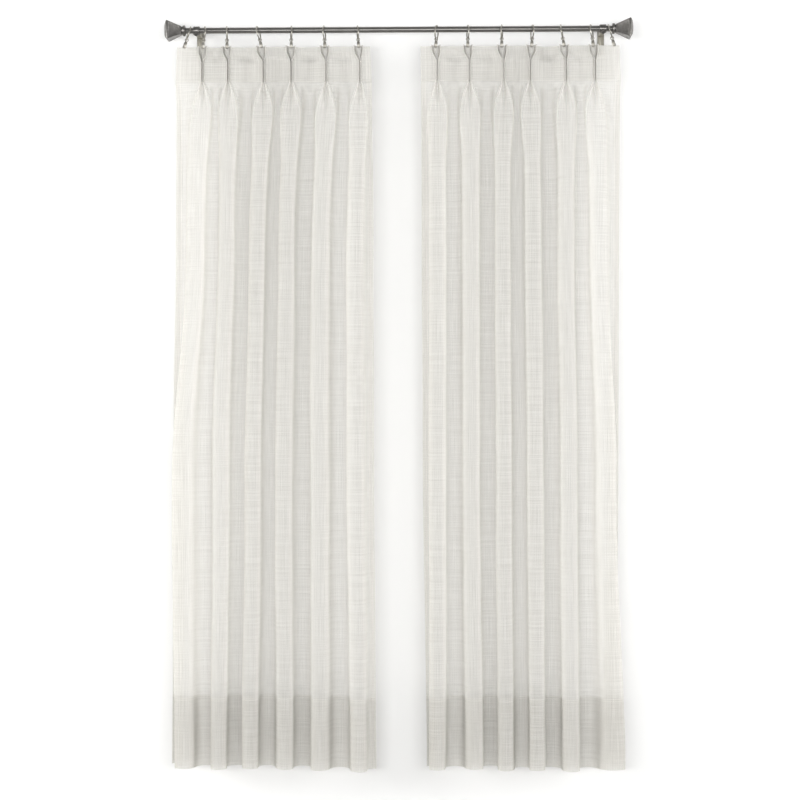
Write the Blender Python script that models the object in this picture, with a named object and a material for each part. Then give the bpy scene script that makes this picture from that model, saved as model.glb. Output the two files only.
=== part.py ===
"""A pair of sheer voile curtains with pinch pleats, clipped to rings on a metal rod.

Units are metres, +Z is up and the room is towards -Y. The origin lies on the wall, midway between
the two brackets and at the height of the rod's axis.
"""

import math

import bmesh
import bpy
import numpy as np
from mathutils import Matrix, Vector

# Rod and what holds it
ROD_RADIUS = 0.0087
ROD_HALF_LENGTH = 0.6297
ROD_Y = -0.089
ROD_SIDES = 20
FIT_GAP = 0.0003
SHARP_EDGE_DEG = 40.0

BRACKET_X = (-0.597, 0.603)
PLATE_WIDTH = 0.020
PLATE_THICKNESS = 0.004
PLATE_TOP = 0.016
PLATE_BOTTOM = -0.062
SLOT_WIDTH = 0.006
SLOT_TOP = -0.036
SLOT_BOTTOM = -0.054
ARM_WIDTH = 0.012
ARM_HEIGHT = 0.014
CRADLE_WIDTH = 0.021
CRADLE_WALL = 0.0036
CRADLE_FROM_DEG = 62.0
CRADLE_TO_DEG = 310.0
CRADLE_STEPS = 14
ARM_SINK_SHARE = 0.6
SCREW_ANGLE_DEG = 318.0
SCREW_NECK_RADIUS = 0.0026
SCREW_NECK_LENGTH = 0.0035
SCREW_HEAD_RADIUS = 0.0062
SCREW_HEAD_LENGTH = 0.0055
SCREW_EDGE = 0.0004
SCREW_DOME_LENGTH = 0.0014
SCREW_DOME_INSET = 0.0016
SCREW_SIDES = 10

# Finial: a turned collar, then a square flare with a low domed end
COLLAR_START = 0.630
COLLAR_SIDES = 16
FLARE_START = 0.6413
FLARE_CORNER_CUT = 0.0016

# Rings and clips
RING_MAJOR = 0.0205
RING_WIRE = 0.0020
RING_SEGMENTS = 16
RING_SIDES = 5
LEAN_SHARE = 0.65
LEAN_REACH = 1.5 * RING_MAJOR
CLIP_EYE_MAJOR = 0.0046
CLIP_EYE_WIRE = 0.0012
CLIP_EYE_SEGMENTS = 8
CLIP_EYE_SIDES = 4
CLIP_EYE_SINK = 0.0006
CLIP_NECK = 0.0145
CLIP_NECK_HALF = 0.0010
CLIP_TOP_WIDTH = 0.0072
CLIP_FOOT_WIDTH = 0.0100
CLIP_PLATE = 0.0008
CLIP_GRIP = 0.0065
CLIP_THROAT = 0.0024

# Cloth, as cut and as gathered
CLOTH_THICKNESS = 0.0012
HEM_THICKNESS = 0.0020
CLOTH_TOP = -0.0485
CLOTH_DROP = 2.1300
SETBACK = 0.0045
GRIP_DROP = 0.009
PINCH_DROP = 0.049
HEADING_DROP = 0.104
OPEN_DROP = 0.375
UPPER_DROP = 0.600
MIDDLE_DROP = 1.250
HEM_DROP = 1.920
HEM_STEP = 0.004
HEM_DIP_POWER = 4

# One finger of a pleat, measured along the cloth from the flat space to the pleat's middle
BASE_TURN = 0.0024
FINGER_LEG = 0.0200
FINGER_TIP = 0.0045
HALF_PLEAT = 0.0520
VALLEY = 0.0070
VALLEY_TURN = 0.0020
PINCHED_WIDTH = 0.0113
HEADING_SLACK = 1.004
FAN_OUT_DEG = 108.0
FAN_IN_DEG = 78.0
FAN_SPREAD = 0.0036

# Drops from the top edge at which the cloth has a row of points
ROW_DROPS = (0.0, GRIP_DROP, 0.027, PINCH_DROP, HEADING_DROP, 0.135, 0.180, 0.250, OPEN_DROP,
             UPPER_DROP, 0.920, MIDDLE_DROP, HEM_DROP - HEM_STEP, HEM_DROP, CLOTH_DROP)

# How many parts the flat cloth between two pleats, or beside the last one, is divided into
SPACE_PARTS = 2
EDGE_PARTS = 3

# Columns: x of the clip at the top edge, x of the pleat where it is tacked
LEFT_PLEATS = (
    (-0.5775, -0.5790),
    (-0.5060, -0.5020),
    (-0.4050, -0.3975),
    (-0.3160, -0.3150),
    (-0.2165, -0.2120),
    (-0.1165, -0.1125),
)
RIGHT_PLEATS = (
    (0.1115, 0.1160),
    (0.2055, 0.2110),
    (0.3055, 0.3115),
    (0.3940, 0.3895),
    (0.4885, 0.4950),
    (0.5745, 0.5800),
)

# Columns: x at the top edge, x where the heading ends
LEFT_EDGES = ((-0.6560, -0.6610), (-0.0830, -0.0780))
RIGHT_EDGES = ((0.0660, 0.0680), (0.6525, 0.6560))

# A row for each edge, front fold and back fold, from left to right.
# Columns: x in the upper body, x at mid height, x at the hem, extra drop at the bottom edge
LEFT_FOLDS = (
    (-0.6640, -0.6720, -0.6755, 0.000),
    (-0.5910, -0.6340, -0.6290, 0.000),
    (-0.5500, -0.5730, -0.5700, -0.001),
    (-0.5080, -0.5230, -0.5290, 0.001),
    (-0.4610, -0.4730, -0.4820, 0.000),
    (-0.4140, -0.4255, -0.4340, -0.002),
    (-0.3720, -0.3810, -0.3870, -0.002),
    (-0.3300, -0.3370, -0.3340, 0.001),
    (-0.2810, -0.2840, -0.2840, 0.002),
    (-0.2290, -0.2320, -0.2310, 0.004),
    (-0.1745, -0.1730, -0.1720, 0.005),
    (-0.1240, -0.1215, -0.1125, 0.008),
    (-0.0730, -0.0710, -0.0650, 0.007),
)
RIGHT_FOLDS = (
    (0.0690, 0.0730, 0.0840, 0.000),
    (0.1150, 0.1150, 0.1150, 0.001),
    (0.1620, 0.1650, 0.1680, 0.000),
    (0.2165, 0.2150, 0.2270, -0.002),
    (0.2655, 0.2680, 0.2740, -0.001),
    (0.3100, 0.3125, 0.3185, 0.002),
    (0.3510, 0.3585, 0.3660, 0.000),
    (0.3950, 0.4010, 0.4070, -0.001),
    (0.4485, 0.4530, 0.4545, 0.001),
    (0.4960, 0.5015, 0.5105, 0.002),
    (0.5400, 0.5520, 0.5550, 0.000),
    (0.5870, 0.6110, 0.6260, -0.001),
    (0.6545, 0.6510, 0.6500, -0.002),
)
EDGE_CURL = 0.55
EDGE_CURL_SHARE = 0.35

# How finely a section is worked out
SECTION_POINTS = 1201
MOST_SWING = 2.3
SWING_HALVINGS = 26

# A row for each ring. Columns: x on the rod, x of its clip, turn about the vertical in degrees
RINGS = (
    (-0.6185, -0.6330, 14.0),
    (-0.5735, -0.5775, 15.0),
    (-0.5070, -0.5060, 5.0),
    (-0.4150, -0.4050, -7.0),
    (-0.3160, -0.3160, 9.0),
    (-0.2190, -0.2165, -6.0),
    (-0.1200, -0.1165, 7.0),
    (0.1140, 0.1115, -12.0),
    (0.2060, 0.2055, 8.0),
    (0.3060, 0.3055, -7.0),
    (0.3960, 0.3940, 9.0),
    (0.4810, 0.4885, -8.0),
    (0.5690, 0.5745, -13.0),
    (0.6225, 0.6360, -7.0),
)


def clear_scene():
    for obj in list(bpy.data.objects):
        bpy.data.objects.remove(obj, do_unlink=True)


def material(name, color, roughness, metallic):
    """A plain Principled material."""
    made = bpy.data.materials.new(name)
    made.use_nodes = True
    shader = made.node_tree.nodes["Principled BSDF"]
    shader.inputs["Base Color"].default_value = (*color, 1.0)
    shader.inputs["Roughness"].default_value = roughness
    shader.inputs["Metallic"].default_value = metallic
    return made


def add_object(name, shape, finish, round_piece=False):
    """Makes a named object from a bmesh whose points are already in place."""
    bmesh.ops.recalc_face_normals(shape, faces=shape.faces)
    mesh = bpy.data.meshes.new(name)
    shape.to_mesh(mesh)
    shape.free()
    obj = bpy.data.objects.new(name, mesh)
    bpy.context.scene.collection.objects.link(obj)
    mesh.materials.append(finish)
    if round_piece:
        mesh.shade_smooth()
        mesh.set_sharp_from_angle(angle=math.radians(SHARP_EDGE_DEG))
    return obj


def bridge_rings(shape, rings, closed=False):
    """Joins rings of equally many points with quads, and fills the two ends unless it is closed."""
    pairs = list(zip(rings, rings[1:]))
    if closed:
        pairs.append((rings[-1], rings[0]))
    for near, far in pairs:
        count = len(near)
        for i in range(count):
            j = (i + 1) % count
            shape.faces.new((near[i], near[j], far[j], far[i]))
    if not closed:
        shape.faces.new(rings[0])
        shape.faces.new(rings[-1])


def turned(profile, sides, place):
    """A solid turned about X. profile lists (x, radius) from one end to the other."""
    shape = bmesh.new()
    rings = []
    for x, radius in profile:
        ring = []
        for i in range(sides):
            angle = 2 * math.pi * (i + 0.5) / sides
            point = Vector((x, radius * math.cos(angle), radius * math.sin(angle)))
            ring.append(shape.verts.new(place @ point))
        rings.append(ring)
    bridge_rings(shape, rings)
    return shape


def torus(major, wire, segments, sides, place):
    """A ring of round wire that lies in the YZ plane before it is placed."""
    shape = bmesh.new()
    rings = []
    for i in range(segments):
        round_angle = 2 * math.pi * (i + 0.5) / segments
        ring = []
        for k in range(sides):
            wire_angle = 2 * math.pi * k / sides
            reach = major + wire * math.cos(wire_angle)
            point = Vector((wire * math.sin(wire_angle),
                            reach * math.cos(round_angle),
                            reach * math.sin(round_angle)))
            ring.append(shape.verts.new(place @ point))
        rings.append(ring)
    bridge_rings(shape, rings, closed=True)
    return shape


def box(low, high):
    """A box from its lowest to its highest corner."""
    shape = bmesh.new()
    bmesh.ops.create_cube(shape, size=1.0)
    middle = (Vector(low) + Vector(high)) / 2
    size = Vector(high) - Vector(low)
    bmesh.ops.scale(shape, vec=size, verts=shape.verts)
    bmesh.ops.translate(shape, vec=middle, verts=shape.verts)
    return shape


def combine(target, other, operation):
    """Applies one Boolean to target and removes the other object."""
    modifier = target.modifiers.new(operation.title(), "BOOLEAN")
    modifier.operation = operation
    modifier.object = other
    graph = bpy.context.evaluated_depsgraph_get()
    result = bpy.data.meshes.new_from_object(target.evaluated_get(graph))
    target.modifiers.clear()
    old = target.data
    target.data = result
    bpy.data.meshes.remove(old)
    bpy.data.objects.remove(other, do_unlink=True)


# Cloth sections

def ease(value):
    value = np.clip(value, 0.0, 1.0)
    return value * value * (3 - 2 * value)


def finger_angle(along, drop):
    """The cloth's heading in radians inside half a pleat, at a distance along from its base.

    Zero runs along the rod and a quarter turn runs straight into the room. Where the finger fans
    out at the top, it also takes up a little of the flat cloth beside it.
    """
    fanned = 1 - ease((drop - GRIP_DROP) / (PINCH_DROP - GRIP_DROP))
    base = -FAN_SPREAD * fanned
    tip_start = BASE_TURN + FINGER_LEG
    tip_end = tip_start + FINGER_TIP
    places = (base, base + BASE_TURN, tip_start, tip_end, HALF_PLEAT - VALLEY - VALLEY_TURN,
              HALF_PLEAT - VALLEY, HALF_PLEAT - VALLEY_TURN, HALF_PLEAT)
    fan = (0.0, FAN_OUT_DEG, FAN_OUT_DEG, -FAN_IN_DEG, -FAN_IN_DEG, 0.0, 0.0, 0.0)
    pinch = (0.0, 90.0, 90.0, -90.0, -90.0, -90.0, -90.0, 0.0)
    degrees = [fanned * a + (1 - fanned) * b for a, b in zip(fan, pinch)]
    return np.radians(np.interp(along, places, degrees))


class Panel:
    """One curtain: it works out where its cloth runs at any drop below the top edge."""

    def __init__(self, pleats, edges, folds):
        self.clip_x = [row[0] for row in pleats]
        self.tack_x = [row[1] for row in pleats]
        self.edges = edges
        self.folds = folds
        half_tack = PINCHED_WIDTH / 2
        strip_left = self.tack_x[0] - half_tack - edges[0][1]
        strip_right = edges[1][1] - self.tack_x[-1] - half_tack
        gaps = np.diff(self.tack_x) - PINCHED_WIDTH
        flats = [strip_left]
        for gap in gaps:
            flats += [gap / 2, gap / 2]
        flats.append(strip_right)
        self.flats = [flat * HEADING_SLACK for flat in flats]
        self.knots = np.concatenate(([0.0], np.cumsum([flat + HALF_PLEAT for flat in self.flats])))
        self.width = self.knots[-1]

    def opened(self, drop):
        """How far the pleats have opened: 0 in the heading, 1 in the body."""
        left = np.clip((OPEN_DROP - drop) / (OPEN_DROP - HEADING_DROP), 0.0, 1.0)
        return float(1 - left ** 2)

    def targets(self, drop):
        """x of each edge, front fold and back fold at this drop."""
        moved = float(ease((drop - GRIP_DROP) / (PINCH_DROP - GRIP_DROP)))
        crest = [a + (b - a) * moved for a, b in zip(self.clip_x, self.tack_x)]
        share = min(drop / HEADING_DROP, 1.0)
        heading = [self.edges[0][0] + share * (self.edges[0][1] - self.edges[0][0])]
        for near, far in zip(crest, crest[1:]):
            heading += [near, (near + far) / 2]
        heading.append(crest[-1])
        heading.append(self.edges[1][0] + share * (self.edges[1][1] - self.edges[1][0]))
        rows = np.array([heading] + [[fold[k] for fold in self.folds] for k in range(3)])
        drops = (HEADING_DROP, UPPER_DROP, MIDDLE_DROP, CLOTH_DROP)
        place = float(np.clip(np.interp(drop, drops, range(4)), 0, 3))
        low = min(int(place), 2)
        part = float(ease(place - low))
        return rows[low] * (1 - part) + rows[low + 1] * part

    def side_shapes(self, side, samples):
        """Along one side of a fold: pleat angle, body swing and heading swing at each sample."""
        length = self.knots[side + 1] - self.knots[side]
        rising = side % 2 == 0
        near = samples - self.knots[side] if rising else self.knots[side + 1] - samples
        sign = 1.0 if rising else -1.0
        flat = self.flats[side]
        body = np.sin(math.pi * near / length)
        space = np.sin(math.pi * np.clip(near / flat, 0, 1))
        if side in (0, len(self.flats) - 1):
            curl = EDGE_CURL * np.clip(1 - near / (EDGE_CURL_SHARE * length), 0, 1) ** 2
            body = body - curl
            space = np.zeros_like(near)
        return sign, near - flat, body, space

    def section(self, samples, drop):
        """Points (x, y) of the cloth at each sampled distance along its width."""
        opened = self.opened(drop)
        x_at = self.targets(drop)
        fine = np.linspace(0, self.width, SECTION_POINTS)
        spots = np.unique(np.concatenate((fine, self.knots, samples)))
        xs = [x_at[0]]
        ys = [0.0]
        for side in range(len(self.flats)):
            here = spots[(spots >= self.knots[side]) & (spots <= self.knots[side + 1])]
            steps = np.diff(here)
            middles = (here[1:] + here[:-1]) / 2
            sign, into_pleat, body, space = self.side_shapes(side, middles)
            pleat = (1 - opened) * finger_angle(into_pleat, drop)
            swing = opened * body + (1 - opened) * space
            wanted = x_at[side + 1] - x_at[side]
            low, high = 0.0, MOST_SWING
            for _ in range(SWING_HALVINGS):
                amount = (low + high) / 2
                if (np.cos(pleat + amount * swing) * steps).sum() > wanted:
                    low = amount
                else:
                    high = amount
            angle = sign * (pleat + amount * swing)
            run = np.cos(angle) * steps
            run *= wanted / run.sum()
            xs += list(xs[-1] + np.cumsum(run))
            ys += list(ys[-1] - np.cumsum(np.sin(angle) * steps))
        xs, ys = np.array(xs), np.array(ys)
        drift = np.polyfit(xs, ys, 1)
        leaned = ys - opened * (np.polyval(drift, xs) - ys.mean())
        held = np.interp(self.knots[1:-1:2] - HALF_PLEAT - FAN_SPREAD, spots, leaned).mean()
        middle = (leaned.max() + leaned.min()) / 2
        leaned = leaned - (1 - opened) * (held - SETBACK) - opened * middle
        return np.interp(samples, spots, xs), np.interp(samples, spots, leaned) + ROD_Y

    def columns(self):
        """Distances along the cloth at which the solid has a column of points."""
        tip_start = BASE_TURN + FINGER_LEG
        pleat_places = (-FAN_SPREAD, 0.0, BASE_TURN, tip_start, tip_start + FINGER_TIP,
                        HALF_PLEAT - VALLEY, HALF_PLEAT)
        found = []
        for side, flat in enumerate(self.flats):
            outer = side in (0, len(self.flats) - 1)
            parts = EDGE_PARTS if outer else SPACE_PARTS
            near = [(flat - FAN_SPREAD) * i / parts for i in range(parts)]
            near += [flat + place for place in pleat_places]
            if side % 2 == 0:
                found += [self.knots[side] + n for n in near]
            else:
                found += [self.knots[side + 1] - n for n in near]
        found = np.sort(np.array(found))
        return found[np.concatenate(([True], np.diff(found) > 1e-6))]

    def top_y(self, x):
        """y of the top edge where a clip at x grips it."""
        xs, ys = self.section(np.linspace(0, self.width, 2 * SECTION_POINTS), 0.0)
        return float(ys[np.argmin(np.abs(xs - x))])

    def bottom_lift(self, columns):
        """Extra drop of the bottom edge at each column."""
        return np.interp(columns, self.knots, [fold[3] for fold in self.folds])


def shorter_diagonal(corners):
    """Two triangles of a four-sided cell, as places in its list of corners, cut across its shorter way."""
    a, b, c, d = corners
    if np.linalg.norm(c - a) <= np.linalg.norm(d - b):
        return (0, 1, 2), (0, 2, 3)
    return (0, 1, 3), (1, 2, 3)


def cloth(name, panel, finish):
    """A closed sheet that follows the panel's folds from its top edge to its hem.

    Each cell is cut across the same way on the front and on the back, so the walls stay apart.
    """
    columns = panel.columns()
    extra = panel.bottom_lift(columns)
    shape = bmesh.new()
    front, back, middle = [], [], []
    for drop in ROW_DROPS:
        x, y = panel.section(columns, drop)
        along_x, along_y = np.gradient(x), np.gradient(y)
        size = np.hypot(along_x, along_y)
        out_x, out_y = along_y / size, -along_x / size
        thick = HEM_THICKNESS if drop >= HEM_DROP else CLOTH_THICKNESS
        z = CLOTH_TOP - drop - extra * (drop / CLOTH_DROP) ** HEM_DIP_POWER
        middle.append(np.column_stack((x, y, z)))
        for rows, side in ((front, thick / 2), (back, -thick / 2)):
            rows.append([shape.verts.new((x[i] + side * out_x[i], y[i] + side * out_y[i], z[i]))
                         for i in range(len(columns))])
    last = len(columns) - 1
    for r in range(len(ROW_DROPS) - 1):
        for i in range(last):
            cell = ((r, i), (r + 1, i), (r + 1, i + 1), (r, i + 1))
            for three in shorter_diagonal([middle[row][k] for row, k in cell]):
                shape.faces.new([front[cell[k][0]][cell[k][1]] for k in three])
                shape.faces.new([back[cell[k][0]][cell[k][1]] for k in reversed(three)])
        shape.faces.new((back[r][0], back[r + 1][0], front[r + 1][0], front[r][0]))
        shape.faces.new((front[r][last], front[r + 1][last], back[r + 1][last], back[r][last]))
    for i in range(last):
        shape.faces.new((back[0][i], front[0][i], front[0][i + 1], back[0][i + 1]))
        shape.faces.new((front[-1][i], back[-1][i], back[-1][i + 1], front[-1][i + 1]))
    return add_object(name, shape, finish, round_piece=True)


# Metal pieces

def rod(finish):
    bevel = 0.0006
    profile = ((-ROD_HALF_LENGTH, ROD_RADIUS - bevel), (-ROD_HALF_LENGTH + bevel, ROD_RADIUS),
               (ROD_HALF_LENGTH - bevel, ROD_RADIUS), (ROD_HALF_LENGTH, ROD_RADIUS - bevel))
    place = Matrix.Translation((0, ROD_Y, 0))
    return add_object("rod", turned(profile, ROD_SIDES, place), finish, round_piece=True)


def finial_collar(name, side, finish):
    """A thick turned bead with a narrow throat beside it, between the rod and the flare."""
    profile = ((COLLAR_START, 0.0124), (COLLAR_START + 0.0008, 0.0148), (COLLAR_START + 0.0026, 0.0161),
               (COLLAR_START + 0.0062, 0.0161), (COLLAR_START + 0.0080, 0.0148),
               (COLLAR_START + 0.0090, 0.0126), (FLARE_START - FIT_GAP, 0.0122))
    place = Matrix.Translation((0, ROD_Y, 0)) @ Matrix.Scale(side, 4, (1, 0, 0))
    return add_object(name, turned(profile, COLLAR_SIDES, place), finish, round_piece=True)


def finial_flare(name, side, finish):
    """A square flare that widens to its end, with a raised rim and a low domed face."""
    # Columns: distance from the rod's middle, half the width of the square
    sections = ((FLARE_START, 0.0120), (0.6560, 0.0172), (0.6690, 0.0224), (0.6814, 0.0272),
                (0.6832, 0.0275), (0.6860, 0.0246), (0.6890, 0.0189), (0.6912, 0.0118),
                (0.6927, 0.0045))
    shape = bmesh.new()
    rings = []
    for x, half in sections:
        cut = min(FLARE_CORNER_CUT, half / 3)
        outline = ((half - cut, half), (half, half - cut), (half, cut - half), (half - cut, -half),
                   (cut - half, -half), (-half, cut - half), (-half, half - cut), (cut - half, half))
        rings.append([shape.verts.new((side * x, ROD_Y + a, b)) for a, b in outline])
    bridge_rings(shape, rings)
    return add_object(name, shape, finish)


def bracket(name, x, finish):
    """A wall plate with a screw slot, an arm, and a cradle that wraps most of the rod."""
    half = PLATE_WIDTH / 2
    plate = add_object(name, box((x - half, -PLATE_THICKNESS, PLATE_BOTTOM), (x + half, 0.0, PLATE_TOP)),
                       finish)
    slot = add_object("slot", box((x - SLOT_WIDTH / 2, -2 * PLATE_THICKNESS, SLOT_BOTTOM),
                                  (x + SLOT_WIDTH / 2, PLATE_THICKNESS, SLOT_TOP)), finish)
    combine(plate, slot, "DIFFERENCE")
    inner = ROD_RADIUS + FIT_GAP
    outer = inner + CRADLE_WALL
    arm_front = ROD_Y + inner + ARM_SINK_SHARE * CRADLE_WALL
    arm = add_object("arm", box((x - ARM_WIDTH / 2, arm_front, -ARM_HEIGHT / 2),
                                (x + ARM_WIDTH / 2, -PLATE_THICKNESS / 2, ARM_HEIGHT / 2)), finish)
    combine(plate, arm, "UNION")
    shape = bmesh.new()
    rings = []
    for i in range(CRADLE_STEPS + 1):
        # Zero degrees points at the wall and a quarter turn points up
        share = i / CRADLE_STEPS
        angle = math.radians(180 - CRADLE_FROM_DEG - share * (CRADLE_TO_DEG - CRADLE_FROM_DEG))
        ring = []
        for across, reach in ((-1, inner), (1, inner), (1, outer), (-1, outer)):
            ring.append(shape.verts.new((x + across * CRADLE_WIDTH / 2,
                                         ROD_Y + reach * math.cos(angle), reach * math.sin(angle))))
        rings.append(ring)
    bridge_rings(shape, rings)
    combine(plate, add_object("cradle", shape, finish), "UNION")
    return plate


def set_screw(name, x, finish):
    """A round-headed screw that stands under the front of the cradle and points at the rod's axis."""
    start = ROD_RADIUS + 2 * FIT_GAP + CRADLE_WALL
    neck = start + SCREW_NECK_LENGTH
    end = neck + SCREW_HEAD_LENGTH
    profile = ((start, SCREW_NECK_RADIUS), (neck, SCREW_NECK_RADIUS), (neck + SCREW_EDGE, SCREW_HEAD_RADIUS),
               (end - SCREW_DOME_LENGTH, SCREW_HEAD_RADIUS), (end, SCREW_HEAD_RADIUS - SCREW_DOME_INSET))
    # The turned X axis is swung to point down and into the room
    swing = math.radians(SCREW_ANGLE_DEG)
    place = (Matrix.Translation((x, ROD_Y, 0)) @ Matrix.Rotation(-math.pi / 2, 4, "Z")
             @ Matrix.Rotation(-swing, 4, "Y"))
    return add_object(name, turned(profile, SCREW_SIDES, place), finish, round_piece=True)


def ring_lean(row):
    """How far a ring leans towards its clip, and how far its middle lies from the rod's axis."""
    facet = math.cos(math.pi / RING_SEGMENTS)
    lean = math.asin(LEAN_SHARE * (row[1] - row[0]) / LEAN_REACH)
    hang = RING_MAJOR * facet - (ROD_RADIUS + RING_WIRE + FIT_GAP) / math.cos(lean)
    return lean, hang


def ring_place(row):
    """Places a ring so that it hangs on the rod, leans towards its clip and is turned a little."""
    lean, hang = ring_lean(row)
    return (Matrix.Translation((row[0], ROD_Y, 0)) @ Matrix.Rotation(lean, 4, (0, -1, 0))
            @ Matrix.Translation((0, 0, -hang)) @ Matrix.Rotation(math.radians(row[2]), 4, "Z"))


def clip_place(row, cloth_y):
    """Hangs a clip low on its ring, in line with the cloth, and tilts it to its place there."""
    lean, hang = ring_lean(row)
    low = RING_MAJOR * math.cos(math.pi / RING_SEGMENTS)
    reach = hang + math.sqrt(low ** 2 - (cloth_y - ROD_Y) ** 2)
    hole = CLIP_EYE_MAJOR * math.cos(math.pi / CLIP_EYE_SEGMENTS) - CLIP_EYE_WIRE
    eye_x = row[0] + reach * math.sin(lean)
    eye_z = -reach * math.cos(lean) - (hole - RING_WIRE - 2 * FIT_GAP)
    eye_height = CLIP_NECK + CLIP_EYE_MAJOR - CLIP_EYE_SINK
    tilt = math.asin((row[1] - eye_x) / eye_height)
    foot = Vector((row[1], cloth_y, eye_z - eye_height * math.cos(tilt)))
    return Matrix.Translation(foot) @ Matrix.Rotation(tilt, 4, (0, -1, 0))


def clip_shape(finish):
    """One spring clip: an eye for the ring and two jaws that widen towards the cloth.

    Its origin is near the cloth's top edge, midway through the cloth.
    """
    jaw_gap = CLOTH_THICKNESS / 2 + FIT_GAP
    outer = jaw_gap + CLIP_PLATE
    foot = -CLIP_GRIP
    outline = ((-outer, foot), (-jaw_gap, foot), (-jaw_gap, CLIP_THROAT), (jaw_gap, CLIP_THROAT),
               (jaw_gap, foot), (outer, foot), (outer, CLIP_THROAT), (CLIP_NECK_HALF, CLIP_NECK),
               (-CLIP_NECK_HALF, CLIP_NECK), (-outer, CLIP_THROAT))
    shape = bmesh.new()
    rings = []
    for across in (-1, 1):
        ring = []
        for y, z in outline:
            share = (z - foot) / (CLIP_NECK - foot)
            width = CLIP_FOOT_WIDTH + (CLIP_TOP_WIDTH - CLIP_FOOT_WIDTH) * share
            ring.append(shape.verts.new((across * width / 2, y, z)))
        rings.append(ring)
    bridge_rings(shape, rings)
    jaws = add_object("jaws", shape, finish)
    eye_z = CLIP_NECK + CLIP_EYE_MAJOR - CLIP_EYE_SINK
    place = Matrix.Translation((0, 0, eye_z)) @ Matrix.Rotation(math.pi / 2, 4, "Z")
    eye = torus(CLIP_EYE_MAJOR, CLIP_EYE_WIRE, CLIP_EYE_SEGMENTS, CLIP_EYE_SIDES, place)
    combine(jaws, add_object("eye", eye, finish), "UNION")
    return jaws


def main():
    clear_scene()
    voile = material("ivory_voile", (0.86, 0.84, 0.78), 0.85, 0.0)
    pewter = material("satin_pewter", (0.30, 0.29, 0.28), 0.35, 0.9)
    nickel = material("aged_nickel", (0.52, 0.50, 0.46), 0.30, 0.95)
    painted = material("painted_bracket", (0.36, 0.34, 0.30), 0.5, 0.6)
    left = Panel(LEFT_PLEATS, LEFT_EDGES, LEFT_FOLDS)
    right = Panel(RIGHT_PLEATS, RIGHT_EDGES, RIGHT_FOLDS)
    cloth("panel_left", left, voile)
    cloth("panel_right", right, voile)
    rod(pewter)
    for word, side, x in (("left", -1, BRACKET_X[0]), ("right", 1, BRACKET_X[1])):
        finial_collar("finial_collar_" + word, side, pewter)
        finial_flare("finial_" + word, side, pewter)
        bracket("bracket_" + word, x, painted)
        set_screw("set_screw_" + word, x, pewter)
    pattern = clip_shape(nickel)
    for number, row in enumerate(RINGS, start=1):
        shape = torus(RING_MAJOR, RING_WIRE, RING_SEGMENTS, RING_SIDES, ring_place(row))
        add_object(f"ring_{number:02d}", shape, nickel, round_piece=True)
        clip = bpy.data.objects.new(f"clip_{number:02d}", pattern.data)
        panel = left if row[1] < 0 else right
        clip.matrix_world = clip_place(row, panel.top_y(row[1]))
        bpy.context.scene.collection.objects.link(clip)
    bpy.data.objects.remove(pattern, do_unlink=True)


main()
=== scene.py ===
"""Sheer voile curtains with pinch pleats on a metal rod: the looks of every piece.

Lengths are metres, +Z is up and the room is towards -Y. The origin lies on the wall, midway between
the two brackets and at the height of the rod's axis.
"""

import math

import bmesh
import bpy
import numpy as np
from mathutils import Matrix, Vector


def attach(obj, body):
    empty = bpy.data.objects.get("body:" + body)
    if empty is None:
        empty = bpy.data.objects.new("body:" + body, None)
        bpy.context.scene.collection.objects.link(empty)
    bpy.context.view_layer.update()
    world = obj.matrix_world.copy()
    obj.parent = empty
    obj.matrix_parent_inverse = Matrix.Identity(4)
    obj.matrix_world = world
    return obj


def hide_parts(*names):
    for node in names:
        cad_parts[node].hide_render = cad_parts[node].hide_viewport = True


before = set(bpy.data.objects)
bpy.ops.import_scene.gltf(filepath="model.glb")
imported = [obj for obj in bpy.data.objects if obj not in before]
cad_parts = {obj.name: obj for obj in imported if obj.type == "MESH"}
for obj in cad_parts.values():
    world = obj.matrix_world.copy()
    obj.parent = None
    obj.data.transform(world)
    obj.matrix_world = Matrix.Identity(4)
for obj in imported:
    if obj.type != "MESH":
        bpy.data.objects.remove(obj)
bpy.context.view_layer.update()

bl_info = {
    "name": "Voile curtains",
    "version": (1, 0, 0),
    "blender": (4, 5, 0),
    "location": "3D View > Sidebar > Curtains",
    "description": "Makes a pair of sheer pinch-pleat curtains with their rod, rings and clips",
    "category": "Object",
}

# Rod and what holds it
ROD_RADIUS = 0.0087
ROD_HALF_LENGTH = 0.6297
ROD_Y = -0.089
FIT_GAP = 0.0003
BRACKET_X = {"left": -0.597, "right": 0.603}
PLATE_SIZE = (0.020, 0.004, 0.078)
PLATE_MIDDLE_Z = -0.023
SLOT_SIZE = (0.006, 0.018)
SLOT_MIDDLE_Z = -0.045
ARM_SIZE = (0.012, 0.014)
CRADLE_WIDTH = 0.021
CRADLE_WALL = 0.0036
CRADLE_FROM_DEG = 62.0
CRADLE_TO_DEG = 310.0
SCREW_ANGLE_DEG = 318.0
SCREW_START = ROD_RADIUS + 2 * FIT_GAP + CRADLE_WALL

# Rings and clips
RING_MAJOR = 0.0205
RING_WIRE = 0.0020
RING_FACET = math.cos(math.pi / 16)
LEAN_SHARE = 0.65
LEAN_REACH = 1.5 * RING_MAJOR
CLIP_EYE_MAJOR = 0.0046
CLIP_EYE_WIRE = 0.0012
CLIP_EYE_FACET = math.cos(math.pi / 8)
CLIP_EYE_HEIGHT = 0.0185

# Cloth, as sewn and as gathered
CLOTH_TOP = -0.0485
CLOTH_DROP = 2.1300
SETBACK = 0.0045
GRIP_DROP = 0.009
PINCH_DROP = 0.049
HEADING_DROP = 0.104
OPEN_DROP = 0.375
UPPER_DROP = 0.600
MIDDLE_DROP = 1.250
HEM_DROP = 1.920
HEM_DIP_POWER = 4
SIDE_HEM = 0.016
LAYER_GAP = 0.0006
HEM_TURN = 0.002

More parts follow.
